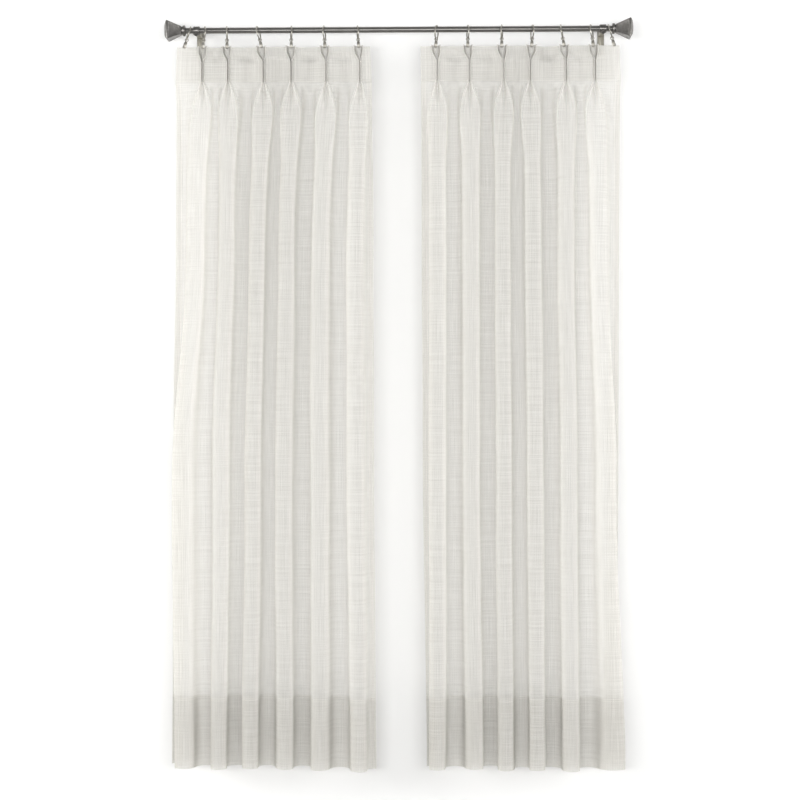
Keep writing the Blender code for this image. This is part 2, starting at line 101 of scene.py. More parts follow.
# Seams and their stitches
SEAM_HALF = 0.0007
SIDE_SEAM = SIDE_HEM - 0.0015
SEAM_DROPS = (HEADING_DROP - 0.002, HEM_DROP + 0.002, HEM_DROP + 0.008)
STITCH_PITCH = 0.0036
STITCH_SHARE = 0.68

# One finger of a pleat, measured along the cloth from the flat space to the pleat's middle
BASE_TURN = 0.0024
FINGER_LEG = 0.0200
FINGER_TIP = 0.0045
HALF_PLEAT = 0.0520
VALLEY = 0.0070
VALLEY_TURN = 0.0020
PINCHED_WIDTH = 0.0113
HEADING_SLACK = 1.004
FAN_OUT_DEG = 108.0
FAN_IN_DEG = 78.0
FAN_SPREAD = 0.0036
EDGE_CURL = 0.55
EDGE_CURL_SHARE = 0.35

# How finely a section is worked out
SECTION_POINTS = 1201
MOST_SWING = 2.3
OVERHANG = 1.10
SWING_HALVINGS = 26

# Columns: x of the clip at the top edge, x of the pleat where it is tacked
LEFT_PLEATS = (
    (-0.5775, -0.5790),
    (-0.5060, -0.5020),
    (-0.4050, -0.3975),
    (-0.3160, -0.3150),
    (-0.2165, -0.2120),
    (-0.1165, -0.1125),
)
RIGHT_PLEATS = (
    (0.1115, 0.1160),
    (0.2055, 0.2110),
    (0.3055, 0.3115),
    (0.3940, 0.3895),
    (0.4885, 0.4950),
    (0.5745, 0.5800),
)

# Columns: x at the top edge, x where the heading ends
LEFT_EDGES = ((-0.6560, -0.6610), (-0.0830, -0.0780))
RIGHT_EDGES = ((0.0660, 0.0680), (0.6525, 0.6560))

# A row for each edge, front fold and back fold, from left to right.
# Columns: x in the upper body, x at mid height, x at the hem, extra drop at the bottom edge
LEFT_FOLDS = (
    (-0.6640, -0.6720, -0.6755, 0.000),
    (-0.5910, -0.6340, -0.6290, 0.000),
    (-0.5500, -0.5730, -0.5700, -0.001),
    (-0.5080, -0.5230, -0.5290, 0.001),
    (-0.4610, -0.4730, -0.4820, 0.000),
    (-0.4140, -0.4255, -0.4340, -0.002),
    (-0.3720, -0.3810, -0.3870, -0.002),
    (-0.3300, -0.3370, -0.3340, 0.001),
    (-0.2810, -0.2840, -0.2840, 0.002),
    (-0.2290, -0.2320, -0.2310, 0.004),
    (-0.1745, -0.1730, -0.1720, 0.005),
    (-0.1240, -0.1215, -0.1125, 0.008),
    (-0.0730, -0.0710, -0.0650, 0.007),
)
RIGHT_FOLDS = (
    (0.0690, 0.0730, 0.0840, 0.000),
    (0.1150, 0.1150, 0.1150, 0.001),
    (0.1620, 0.1650, 0.1680, 0.000),
    (0.2165, 0.2150, 0.2270, -0.002),
    (0.2655, 0.2680, 0.2740, -0.001),
    (0.3100, 0.3125, 0.3185, 0.002),
    (0.3510, 0.3585, 0.3660, 0.000),
    (0.3950, 0.4010, 0.4070, -0.001),
    (0.4485, 0.4530, 0.4545, 0.001),
    (0.4960, 0.5015, 0.5105, 0.002),
    (0.5400, 0.5520, 0.5550, 0.000),
    (0.5870, 0.6110, 0.6260, -0.001),
    (0.6545, 0.6510, 0.6500, -0.002),
)

# A row for each ring. Columns: x on the rod, x of its clip, turn about the vertical in degrees
RINGS = (
    (-0.6185, -0.6330, 14.0),
    (-0.5735, -0.5775, 15.0),
    (-0.5070, -0.5060, 5.0),
    (-0.4150, -0.4050, -7.0),
    (-0.3160, -0.3160, 9.0),
    (-0.2190, -0.2165, -6.0),
    (-0.1200, -0.1165, 7.0),
    (0.1140, 0.1115, -12.0),
    (0.2060, 0.2055, 8.0),
    (0.3060, 0.3055, -7.0),
    (0.3960, 0.3940, 9.0),
    (0.4810, 0.4885, -8.0),
    (0.5690, 0.5745, -13.0),
    (0.6225, 0.6360, -7.0),
)

# A row for each soft crease that is pressed or hangs in the cloth besides its folds.
# Columns: share of the width, drop where it starts, drop where it ends, depth, half width,
# how far it drifts sideways over its length
LEFT_CREASES = (
    (0.035, 0.15, 1.70, 0.0035, 0.007, 0.012),
    (0.108, 0.20, 1.10, -0.0030, 0.009, -0.008),
    (0.205, 0.12, 0.90, 0.0028, 0.006, 0.006),
    (0.262, 0.60, 2.05, -0.0035, 0.008, 0.010),
    (0.345, 0.15, 1.30, 0.0030, 0.006, -0.010),
    (0.418, 0.30, 1.85, -0.0030, 0.007, 0.006),
    (0.505, 0.12, 0.85, 0.0028, 0.006, 0.008),
    (0.572, 0.50, 2.00, 0.0030, 0.007, -0.008),
    (0.660, 0.15, 1.20, -0.0030, 0.006, 0.006),
    (0.735, 0.25, 1.60, 0.0028, 0.007, 0.010),
    (0.818, 0.12, 0.95, -0.0030, 0.006, -0.006),
    (0.897, 0.40, 1.95, 0.0032, 0.008, 0.006),
    (0.962, 0.15, 1.40, -0.0030, 0.006, 0.004),
)
RIGHT_CREASES = (
    (0.032, 0.15, 1.30, -0.0032, 0.006, -0.004),
    (0.104, 0.35, 1.90, 0.0032, 0.008, 0.008),
    (0.184, 0.12, 0.95, 0.0028, 0.006, -0.006),
    (0.256, 0.25, 1.55, -0.0030, 0.007, 0.010),
    (0.338, 0.15, 1.15, 0.0030, 0.006, 0.006),
    (0.427, 0.55, 2.05, -0.0032, 0.007, -0.008),
    (0.497, 0.12, 0.90, -0.0028, 0.006, 0.008),
    (0.585, 0.30, 1.80, 0.0030, 0.008, 0.006),
    (0.652, 0.15, 1.25, 0.0030, 0.006, -0.010),
    (0.741, 0.60, 2.00, -0.0034, 0.008, 0.008),
    (0.803, 0.12, 0.85, 0.0028, 0.006, 0.006),
    (0.893, 0.20, 1.15, 0.0030, 0.008, -0.008),
    (0.968, 0.15, 1.70, 0.0034, 0.007, 0.010),
)

# Unevenness of the cloth. Columns: wavelength along the cloth, height of the ripple, wavelength down
RIPPLES = (
    (0.031, 0.00030, 0.41),
    (0.058, 0.00055, 0.73),
    (0.113, 0.00090, 1.19),
)


# Settings

class CurtainCloth(bpy.types.PropertyGroup):
    """What a user would change about the voile."""

    ivory: bpy.props.FloatVectorProperty(
        name="Ivory", description="Colour of the voile's threads", subtype="COLOR",
        size=3, min=0.0, max=1.0, default=(0.955, 0.943, 0.910))
    shade: bpy.props.FloatVectorProperty(
        name="Slub", description="Colour of the thicker threads", subtype="COLOR",
        size=3, min=0.0, max=1.0, default=(0.87, 0.848, 0.795))
    cover: bpy.props.FloatProperty(
        name="Cover", description="Share of the light that one flat layer stops",
        subtype="FACTOR", min=0.0, max=1.0, default=0.58)
    fold_cover: bpy.props.FloatProperty(
        name="Cover in folds", description="Share stopped where the cloth runs into the room",
        subtype="FACTOR", min=0.0, max=1.0, default=0.94)
    glow: bpy.props.FloatProperty(
        name="Glow", description="Share of the light that spreads through the threads",
        subtype="FACTOR", min=0.0, max=1.0, default=0.55)
    thread_pitch: bpy.props.FloatProperty(
        name="Thread pitch", description="Distance from thread to thread", unit="LENGTH",
        min=0.0002, max=0.005, default=0.0011, precision=4)


class CurtainMetal(bpy.types.PropertyGroup):
    """What a user would change about the metal."""

    pewter: bpy.props.FloatVectorProperty(
        name="Pewter", description="Colour of the rod and its finials", subtype="COLOR",
        size=3, min=0.0, max=1.0, default=(0.300, 0.291, 0.278))
    pewter_dark: bpy.props.FloatVectorProperty(
        name="Pewter, dark", description="Colour in the pewter's worn hollows", subtype="COLOR",
        size=3, min=0.0, max=1.0, default=(0.150, 0.143, 0.132))
    nickel: bpy.props.FloatVectorProperty(
        name="Nickel", description="Colour of the rings and clips", subtype="COLOR",
        size=3, min=0.0, max=1.0, default=(0.68, 0.66, 0.605))
    nickel_dark: bpy.props.FloatVectorProperty(
        name="Nickel, dark", description="Colour of the tarnish on them", subtype="COLOR",
        size=3, min=0.0, max=1.0, default=(0.26, 0.245, 0.21))
    taupe: bpy.props.FloatVectorProperty(
        name="Taupe", description="Colour of the painted brackets", subtype="COLOR",
        size=3, min=0.0, max=1.0, default=(0.33, 0.312, 0.262))


class CurtainStage(bpy.types.PropertyGroup):
    """Where the picture is taken from and how it is lit."""

    distance: bpy.props.FloatProperty(
        name="Distance", description="From the camera to the curtains", unit="LENGTH",
        min=1.0, max=20.0, default=5.75)
    azimuth: bpy.props.FloatProperty(
        name="Azimuth", description="How far the camera stands to the right", subtype="ANGLE",
        min=-0.5, max=0.5, default=math.radians(1.6))
    width: bpy.props.FloatProperty(
        name="Width seen", description="Width of the picture at the curtains", unit="LENGTH",
        min=0.5, max=5.0, default=2.3624)
    key: bpy.props.FloatProperty(
        name="Key light", description="Strength of the soft light from the upper left",
        min=0.0, max=2000.0, default=305.0)
    fill: bpy.props.FloatProperty(
        name="Fill light", description="Strength of the soft light from the right",
        min=0.0, max=2000.0, default=282.0)
    front: bpy.props.FloatProperty(
        name="Front light", description="Strength of the broad soft light from behind the camera",
        min=0.0, max=2000.0, default=255.0)
    sky: bpy.props.FloatProperty(
        name="Room light", description="Strength of the even light from all round",
        min=0.0, max=10.0, default=0.27)


# Shader helpers

class Value:
    """A number that varies over a surface. Arithmetic on it adds Math nodes."""

    def __init__(self, surface, socket):
        self.surface = surface
        self.socket = socket

    def math(self, operation, first, second=0.0, clamp=False):
        return self.surface.add("ShaderNodeMath", {"operation": operation, "use_clamp": clamp},
                                {0: first, 1: second})

    def __add__(self, other):
        return self.math("ADD", self, other)

    __radd__ = __add__

    def __sub__(self, other):
        return self.math("SUBTRACT", self, other)

    def __rsub__(self, other):
        return self.math("SUBTRACT", other, self)

    def __mul__(self, other):
        return self.math("MULTIPLY", self, other)

    __rmul__ = __mul__

    def __pow__(self, other):
        return self.math("POWER", self, other)

    def __abs__(self):
        return self.math("ABSOLUTE", self)

    def sine(self):
        return self.math("SINE", self)

    def fraction(self):
        return self.math("FRACT", self)

    def below(self, other):
        return self.math("LESS_THAN", self, other)

    def most(self, other):
        return self.math("MAXIMUM", self, other)

    def least(self, other):
        return self.math("MINIMUM", self, other)

    def clamped(self):
        return self.math("ADD", self, 0.0, clamp=True)


class Surface:
    """A node material, built one node at a time."""

    def __init__(self, name):
        self.material = bpy.data.materials.new(name)
        self.material.use_nodes = True
        self.tree = self.material.node_tree
        self.tree.nodes.clear()
        self.output = self.tree.nodes.new("ShaderNodeOutputMaterial")

    def add(self, kind, settings=None, inputs=None, output=0):
        """Adds a node, sets its settings, then the values or links of its sockets."""
        node = self.tree.nodes.new(kind)
        for key, value in (settings or {}).items():
            setattr(node, key, value)
        for key, value in (inputs or {}).items():
            if isinstance(value, Value):
                self.tree.links.new(value.socket, node.inputs[key])
            else:
                node.inputs[key].default_value = value
        return Value(self, node.outputs[output])

    def mix_colour(self, share, first, second):
        return self.add("ShaderNodeMix", {"data_type": "RGBA"},
                        {0: share, 6: first, 7: second}, output=2)

    def object_place(self):
        return self.add("ShaderNodeTexCoord", output=3)

    def noise(self, place, scale, detail=3.0, rough=0.55, dimensions="3D"):
        return self.add("ShaderNodeTexNoise", {"noise_dimensions": dimensions},
                        {"Vector": place, "Scale": scale, "Detail": detail, "Roughness": rough})

    def stretched(self, place, scale):
        return self.add("ShaderNodeMapping", {"vector_type": "POINT"},
                        {"Vector": place, "Scale": scale})

    def finish(self, shader):
        self.tree.links.new(shader.socket, self.output.inputs["Surface"])
        return self.material


def rgba(colour, gain=1.0):
    return (*(channel * gain for channel in colour), 1.0)


def satin_metal(name, light, dark, roughness, grain, metallic=0.92):
    """Cast and rubbed metal: cloudy tarnish, worn bright spots and a fine grain."""
    made = Surface(name)
    place = made.object_place()
    clouds = made.noise(place, 95.0, detail=4.0)
    speckle = made.noise(place, 900.0, detail=2.0)
    worn = ((clouds - 0.38) * 2.6).clamped() * 0.75 + speckle * 0.25
    colour = made.mix_colour(worn.clamped(), rgba(dark), rgba(light))
    gloss = (roughness + 0.16 * (0.5 - clouds) + 0.10 * (speckle - 0.5)).clamped()
    bump = made.add("ShaderNodeBump", None, {"Strength": grain, "Distance": 0.0004,
                                             "Height": clouds * 0.6 + speckle * 0.4})
    shader = made.add("ShaderNodeBsdfPrincipled", None,
                      {"Base Color": colour, "Roughness": gloss, "Metallic": metallic, "Normal": bump,
                       "Coat Weight": 0.15, "Coat Roughness": 0.3})
    return made.finish(shader)


def brushed_metal(name, light, dark, roughness):
    """Drawn tube: the same satin metal with fine lines along its length."""
    made = Surface(name)
    place = made.object_place()
    lines = made.noise(made.stretched(place, (3.0, 1400.0, 1400.0)), 1.0, detail=3.0)
    clouds = made.noise(place, 28.0, detail=4.0)
    colour = made.mix_colour((clouds * 0.7 + lines * 0.3).clamped(), rgba(dark), rgba(light))
    gloss = (roughness + 0.18 * (lines - 0.5) + 0.10 * (clouds - 0.5)).clamped()
    bump = made.add("ShaderNodeBump", None, {"Strength": 0.10, "Distance": 0.0003, "Height": lines})
    shader = made.add("ShaderNodeBsdfPrincipled", None,
                      {"Base Color": colour, "Roughness": gloss, "Metallic": 0.92, "Normal": bump})
    return made.finish(shader)


def painted_metal(name, colour):
    """Bracket paint: a hammered taupe coat with darker hollows."""
    made = Surface(name)
    place = made.object_place()
    dimples = made.noise(place, 420.0, detail=2.0, rough=0.5)
    clouds = made.noise(place, 60.0, detail=3.0)
    tone = made.mix_colour((clouds * 0.6 + dimples * 0.4).clamped(), rgba(colour, 0.72), rgba(colour, 1.25))
    bump = made.add("ShaderNodeBump", None, {"Strength": 0.25, "Distance": 0.0004, "Height": dimples})
    gloss = (0.40 + 0.2 * (clouds - 0.5)).clamped()
    shader = made.add("ShaderNodeBsdfPrincipled", None,
                      {"Base Color": tone, "Roughness": gloss, "Metallic": 0.55, "Normal": bump,
                       "Coat Weight": 0.2, "Coat Roughness": 0.35})
    return made.finish(shader)


def voile(name, width, settings):
    """Sheer woven cloth: threads with gaps between them, slubs, seams and their stitches."""
    made = Surface(name)
    place = made.add("ShaderNodeUVMap", {"uv_map": "cloth"})
    split = made.add("ShaderNodeSeparateXYZ", None, {"Vector": place})
    along = split
    down = Value(made, split.socket.node.outputs[1])
    turn = 2 * math.pi / settings.thread_pitch
    warp = (along * turn).sine() * 0.5 + 0.5
    weft = (down * turn).sine() * 0.5 + 0.5
    threads = warp.most(weft)
    slub_down = made.noise(made.stretched(place, (620.0, 9.0, 1.0)), 1.0, detail=0.0, dimensions="2D")
    slub_along = made.noise(made.stretched(place, (7.0, 560.0, 1.0)), 1.0, detail=0.0, dimensions="2D")
    slubs = slub_down * 0.55 + slub_along * 0.45

    def seam(distance):
        return abs(distance).below(SEAM_HALF)

    def stitched(run):
        return (run * (1 / STITCH_PITCH)).fraction().below(STITCH_SHARE)

    seam_down = seam(along.least(width - along) - SIDE_SEAM)
    heading_seam, hem_seam, hem_edge_seam = (seam(down - drop) for drop in SEAM_DROPS)
    seam_along = heading_seam.most(hem_seam).most(hem_edge_seam)
    stitch = (stitched(down) * seam_down).most(stitched(along) * seam_along)
    steep = made.add("ShaderNodeAttribute", {"attribute_name": "steep"}, output=2)
    cover = settings.cover + (settings.fold_cover - settings.cover) * (steep ** 2.5)
    cover = cover + 0.22 * (threads - 0.72) + 0.28 * (slubs - 0.5)
    cover = (cover + 0.18 * stitch).clamped()
    colour = made.mix_colour(((slubs - 0.30) * 2.2).clamped(), rgba(settings.shade),
                             rgba(settings.ivory))
    bump = made.add("ShaderNodeBump", None, {"Strength": 0.20, "Distance": 0.0003, "Height": threads})
    threads_shader = made.add("ShaderNodeBsdfPrincipled", None,
                              {"Base Color": colour, "Roughness": 0.78, "Normal": bump,
                               "Specular IOR Level": 0.25})
    through = made.add("ShaderNodeBsdfTranslucent", None, {"Color": rgba(settings.ivory)})
    body = made.add("ShaderNodeMixShader", None, {0: settings.glow, 1: threads_shader, 2: through})
    clear = made.add("ShaderNodeBsdfTransparent")
    return made.finish(made.add("ShaderNodeMixShader", None, {0: cover, 1: clear, 2: body}))


def matt(name, colour, one_sided=False):
    """Plain paint for the stage, seen from its front alone where it is one-sided."""
    made = Surface(name)
    shader = made.add("ShaderNodeBsdfDiffuse", None, {"Color": rgba(colour)})
    if one_sided:
        behind = made.add("ShaderNodeNewGeometry", output=6)
        clear = made.add("ShaderNodeBsdfTransparent")
        shader = made.add("ShaderNodeMixShader", None, {0: behind, 1: shader, 2: clear})
    return made.finish(shader)


# Modelling helpers

def deselect():
    bpy.ops.object.select_all(action="DESELECT")


def fresh(name, place=None):
    """Names the primitive that was just added and applies where it stands."""
    obj = bpy.context.object
    obj.name = obj.data.name = name
    if place is not None:
        obj.matrix_world = place
    bpy.ops.object.transform_apply(location=True, rotation=True, scale=True)
    return obj


def choose(obj, test, kind="FACE"):
    """In edit mode, selects the faces or edges whose middle and direction pass a test."""
    bpy.ops.mesh.select_mode(type=kind)
    bpy.ops.mesh.select_all(action="DESELECT")
    shape = bmesh.from_edit_mesh(obj.data)
    if kind == "FACE":
        for face in shape.faces:
            face.select_set(bool(test(face.calc_center_median(), face.normal)))
    else:
        for edge in shape.edges:
            near, far = edge.verts
            way = (far.co - near.co).normalized()
            edge.select_set(bool(test((near.co + far.co) / 2, way)))
    bmesh.update_edit_mesh(obj.data)


def draw_out(sections, centre):
    """Extrudes the selected end along X through sections of (x, half size)."""
    for (x, half), (next_x, next_half) in zip(sections, sections[1:]):
        bpy.ops.mesh.extrude_region_move(TRANSFORM_OT_translate={"value": (next_x - x, 0, 0)})
        share = next_half / half
        bpy.ops.transform.resize(value=(1, share, share), center_override=(next_x, *centre))


def modify(obj, name, kind, **settings):
    """Adds a modifier and applies it."""
    bpy.context.view_layer.objects.active = obj
    modifier = obj.modifiers.new(name, kind)
    for key, value in settings.items():
        setattr(modifier, key, value)
    bpy.ops.object.modifier_apply(modifier=modifier.name)


def point_faces_out(obj):
    deselect()
    obj.select_set(True)
    bpy.context.view_layer.objects.active = obj
    bpy.ops.object.mode_set(mode="EDIT")
    bpy.ops.mesh.select_all(action="SELECT")
    bpy.ops.mesh.remove_doubles(threshold=0.00001)
    bpy.ops.mesh.normals_make_consistent(inside=False)
    bpy.ops.object.mode_set(mode="OBJECT")


def join(first, *others):
    deselect()
    for obj in others:
        obj.select_set(True)
    first.select_set(True)
    bpy.context.view_layer.objects.active = first
    bpy.ops.object.join()
    return first


def copied(pattern, name, place):
    """A copy with its own mesh, moved to its place in the mesh itself."""
    made = pattern.copy()
    made.data = pattern.data.copy()
    made.name = made.data.name = name
    bpy.context.scene.collection.objects.link(made)
    made.data.transform(place)
    if place.determinant() < 0:
        point_faces_out(made)
    return made


def dress(obj, finish, nodes, smooth_deg=32.0):
    """Gives a finished piece its surface, hangs it under the root and hides the solids it stands for."""
    deselect()
    obj.select_set(True)
    bpy.context.view_layer.objects.active = obj
    obj.data.materials.clear()
    obj.data.materials.append(finish)
    bpy.ops.object.shade_smooth_by_angle(angle=math.radians(smooth_deg))
    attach(obj, "root")
    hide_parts(*nodes)


# Where rings and clips hang

def ring_lean(row):
    """How far a ring leans towards its clip, and how far its middle lies from the rod's axis."""
    lean = math.asin(LEAN_SHARE * (row[1] - row[0]) / LEAN_REACH)
    hang = RING_MAJOR * RING_FACET - (ROD_RADIUS + RING_WIRE + FIT_GAP) / math.cos(lean)
    return lean, hang


def ring_place(row):
    """Places a ring so that it hangs on the rod, leans towards its clip and is turned a little."""
    lean, hang = ring_lean(row)
    return (Matrix.Translation((row[0], ROD_Y, 0)) @ Matrix.Rotation(lean, 4, (0, -1, 0))
            @ Matrix.Translation((0, 0, -hang)) @ Matrix.Rotation(math.radians(row[2]), 4, "Z"))


def clip_place(row, cloth_y):
    """Hangs a clip low on its ring, in line with the cloth, and tilts it to its place there."""
    lean, hang = ring_lean(row)
    reach = hang + math.sqrt((RING_MAJOR * RING_FACET) ** 2 - (cloth_y - ROD_Y) ** 2)
    hole = CLIP_EYE_MAJOR * CLIP_EYE_FACET - CLIP_EYE_WIRE
    eye_x = row[0] + reach * math.sin(lean)
    eye_z = -reach * math.cos(lean) - (hole - RING_WIRE - 2 * FIT_GAP)
    tilt = math.asin((row[1] - eye_x) / CLIP_EYE_HEIGHT)
    foot = Vector((row[1], cloth_y, eye_z - CLIP_EYE_HEIGHT * math.cos(tilt)))
    return Matrix.Translation(foot) @ Matrix.Rotation(tilt, 4, (0, -1, 0))


# The cloth's sections

def ease(value):
    value = np.clip(value, 0.0, 1.0)
    return value * value * (3 - 2 * value)


def finger_angle(along, drop):
    """The cloth's heading in radians inside half a pleat, at a distance along from its base.

    Zero runs along the rod and a quarter turn runs straight into the room. Where the finger fans
    out at the top, it also takes up a little of the flat cloth beside it.
    """
    fanned = 1 - ease((drop - GRIP_DROP) / (PINCH_DROP - GRIP_DROP))
    base = -FAN_SPREAD * fanned
    tip_start = BASE_TURN + FINGER_LEG
    tip_end = tip_start + FINGER_TIP
    places = (base, base + BASE_TURN, tip_start, tip_end, HALF_PLEAT - VALLEY - VALLEY_TURN,
              HALF_PLEAT - VALLEY, HALF_PLEAT - VALLEY_TURN, HALF_PLEAT)
    fan = (0.0, FAN_OUT_DEG, FAN_OUT_DEG, -FAN_IN_DEG, -FAN_IN_DEG, 0.0, 0.0, 0.0)
    pinch = (0.0, 90.0, 90.0, -90.0, -90.0, -90.0, -90.0, 0.0)
    degrees = [fanned * a + (1 - fanned) * b for a, b in zip(fan, pinch)]
    return np.radians(np.interp(along, places, degrees))


class Panel:
    """One curtain: it works out where its cloth runs at any drop below the top edge."""

    def __init__(self, pleats, edges, folds, creases, seed):
        self.clip_x = [row[0] for row in pleats]
        self.tack_x = [row[1] for row in pleats]
        self.edges = edges
        self.folds = folds
        self.creases = creases
        self.phases = np.random.default_rng(seed).uniform(0, 2 * math.pi, (len(RIPPLES), 2))
        half_tack = PINCHED_WIDTH / 2
        strip_left = self.tack_x[0] - half_tack - edges[0][1]
        strip_right = edges[1][1] - self.tack_x[-1] - half_tack
        gaps = np.diff(self.tack_x) - PINCHED_WIDTH
        flats = [strip_left]
        for gap in gaps:
            flats += [gap / 2, gap / 2]
        flats.append(strip_right)
        self.flats = [flat * HEADING_SLACK for flat in flats]
        self.knots = np.concatenate(([0.0], np.cumsum([flat + HALF_PLEAT for flat in self.flats])))
        self.width = self.knots[-1]

    def opened(self, drop):
        """How far the pleats have opened: 0 in the heading, 1 in the body."""
        left = np.clip((OPEN_DROP - drop) / (OPEN_DROP - HEADING_DROP), 0.0, 1.0)
        return float(1 - left ** 2)

    def targets(self, drop):
        """x of each edge, front fold and back fold at this drop."""
        moved = float(ease((drop - GRIP_DROP) / (PINCH_DROP - GRIP_DROP)))
        crest = [a + (b - a) * moved for a, b in zip(self.clip_x, self.tack_x)]
        share = min(drop / HEADING_DROP, 1.0)
        heading = [self.edges[0][0] + share * (self.edges[0][1] - self.edges[0][0])]
        for near, far in zip(crest, crest[1:]):
            heading += [near, (near + far) / 2]
        heading.append(crest[-1])
        heading.append(self.edges[1][0] + share * (self.edges[1][1] - self.edges[1][0]))
        rows = np.array([heading] + [[fold[k] for fold in self.folds] for k in range(3)])
        drops = (HEADING_DROP, UPPER_DROP, MIDDLE_DROP, CLOTH_DROP)
        place = float(np.clip(np.interp(drop, drops, range(4)), 0, 3))
        low = min(int(place), 2)
        part = float(ease(place - low))
        return rows[low] * (1 - part) + rows[low + 1] * part

    def side_shapes(self, side, samples):
        """Along one side of a fold: pleat angle, body swing and heading swing at each sample."""
        length = self.knots[side + 1] - self.knots[side]
        rising = side % 2 == 0
        near = samples - self.knots[side] if rising else self.knots[side + 1] - samples
        sign = 1.0 if rising else -1.0
        flat = self.flats[side]
        body = np.sin(math.pi * near / length)
        space = np.sin(math.pi * np.clip(near / flat, 0, 1))
        if side in (0, len(self.flats) - 1):
            curl = EDGE_CURL * np.clip(1 - near / (EDGE_CURL_SHARE * length), 0, 1) ** 2
            body = body - curl
            space = np.zeros_like(near)
        return sign, near - flat, body, space

    def section(self, samples, drop):
        """Points (x, y) of the cloth at each sampled distance along its width."""
        opened = self.opened(drop)
        x_at = self.targets(drop)
        fine = np.linspace(0, self.width, SECTION_POINTS)
        spots = np.unique(np.concatenate((fine, self.knots, samples)))
        xs = [x_at[0]]
        ys = [0.0]
        for side in range(len(self.flats)):
            here = spots[(spots >= self.knots[side]) & (spots <= self.knots[side + 1])]
            steps = np.diff(here)
            middles = (here[1:] + here[:-1]) / 2
            sign, into_pleat, body, space = self.side_shapes(side, middles)
            pleat = (1 - opened) * finger_angle(into_pleat, drop)
            swing = opened * body + (1 - opened) * space
            wanted = x_at[side + 1] - x_at[side]
            low, high = 0.0, MOST_SWING
            for _ in range(SWING_HALVINGS):
                amount = (low + high) / 2
                if (np.cos(pleat + amount * swing) * steps).sum() > wanted:
                    low = amount
                else:
                    high = amount
            amount *= 1 + (OVERHANG - 1) * opened
            angle = sign * (pleat + amount * swing)
            run = np.cos(angle) * steps
            run *= wanted / run.sum()
            xs += list(xs[-1] + np.cumsum(run))
            ys += list(ys[-1] - np.cumsum(np.sin(angle) * steps))
        xs, ys = np.array(xs), np.array(ys)
        drift = np.polyfit(xs, ys, 1)
        leaned = ys - opened * (np.polyval(drift, xs) - ys.mean())
        held = np.interp(self.knots[1:-1:2] - HALF_PLEAT - FAN_SPREAD, spots, leaned).mean()
        middle = (leaned.max() + leaned.min()) / 2
        leaned = leaned - (1 - opened) * (held - SETBACK) - opened * middle
        return np.interp(samples, spots, xs), np.interp(samples, spots, leaned) + ROD_Y

    def top_y(self, x):
        """y of the top edge where a clip at x grips it."""
        xs, ys = self.section(np.linspace(0, self.width, 2 * SECTION_POINTS), 0.0)
        return float(ys[np.argmin(np.abs(xs - x))])

    def columns(self):
        """Distances along the cloth of its columns of points, close together in the pleats."""
        tip_start = BASE_TURN + FINGER_LEG
        tip_end = tip_start + FINGER_TIP
        stops = ((-FAN_SPREAD, 0.0, 3), (0.0, BASE_TURN, 2), (BASE_TURN, tip_start, 5),
                 (tip_start, tip_end, 4), (tip_end, HALF_PLEAT - VALLEY, 5),
                 (HALF_PLEAT - VALLEY, HALF_PLEAT, 3))
        in_pleat = np.concatenate([np.linspace(a, b, n, endpoint=False) for a, b, n in stops])
        in_pleat = np.append(in_pleat, HALF_PLEAT)
        found = []
        for side, flat in enumerate(self.flats):
            space = np.linspace(0, flat - FAN_SPREAD, 12, endpoint=False)
            near = np.concatenate((space, flat + in_pleat))
            if side % 2 == 0:
                found.append(self.knots[side] + near)
            else:
                found.append(self.knots[side + 1] - near)
        found = np.sort(np.concatenate(found))
        return found[np.concatenate(([True], np.diff(found) > 1e-6))]

    def unevenness(self, along, drop):
        """How far the cloth stands out from its plain folds: creases and slight ripples."""
        free = float(ease((drop - HEADING_DROP) / 0.15))
        stiff = 0.25 * float(ease(drop / 0.03))
        total = np.zeros_like(along)
        for (wide, height, tall), (phase, other) in zip(RIPPLES, self.phases):
            wander = 1.6 * math.sin(2 * math.pi * drop / tall + other)
            total += height * np.sin(2 * math.pi * along / wide + phase + wander)
        total *= stiff + (1 - stiff) * free
        for share, start, end, depth, half, drift in self.creases:
            if start < drop < end:
                part = (drop - start) / (end - start)
                strength = depth * math.sin(math.pi * part) ** 0.7
                middle = share * self.width + drift * part
                total += strength * free * np.exp(-((along - middle) / half) ** 2)
        return total

    def layer(self, columns, rows):
        """Points, cloth places and steepness of one layer. rows lists (drop, set back)."""
        extra = np.interp(columns, self.knots, [fold[3] for fold in self.folds])
        points, places, steep = [], [], []
        for drop, back in rows:
            x, y = self.section(columns, drop)
            slope_x, slope_y = np.gradient(x), np.gradient(y)
            size = np.hypot(slope_x, slope_y)
            out = self.unevenness(columns, drop) - back
            z = CLOTH_TOP - drop - extra * (drop / CLOTH_DROP) ** HEM_DIP_POWER
            points.append(np.column_stack((x + out * slope_y / size, y - out * slope_x / size,
                                           np.broadcast_to(z, x.shape))))
            places.append(np.column_stack((columns, np.full_like(columns, drop))))
            steep.append(np.abs(slope_y) / size)
        return np.array(points), np.array(places), np.array(steep)


def body_drops():
    """Drops of the main layer's rows, close together where the pleats form and open."""
    return np.concatenate((
        np.linspace(0, GRIP_DROP, 3, endpoint=False),
        np.linspace(GRIP_DROP, HEADING_DROP, 22, endpoint=False),
        np.linspace(HEADING_DROP, OPEN_DROP, 34, endpoint=False),
        np.linspace(OPEN_DROP, HEM_DROP, 58, endpoint=False),
        np.linspace(HEM_DROP, CLOTH_DROP, 13)))


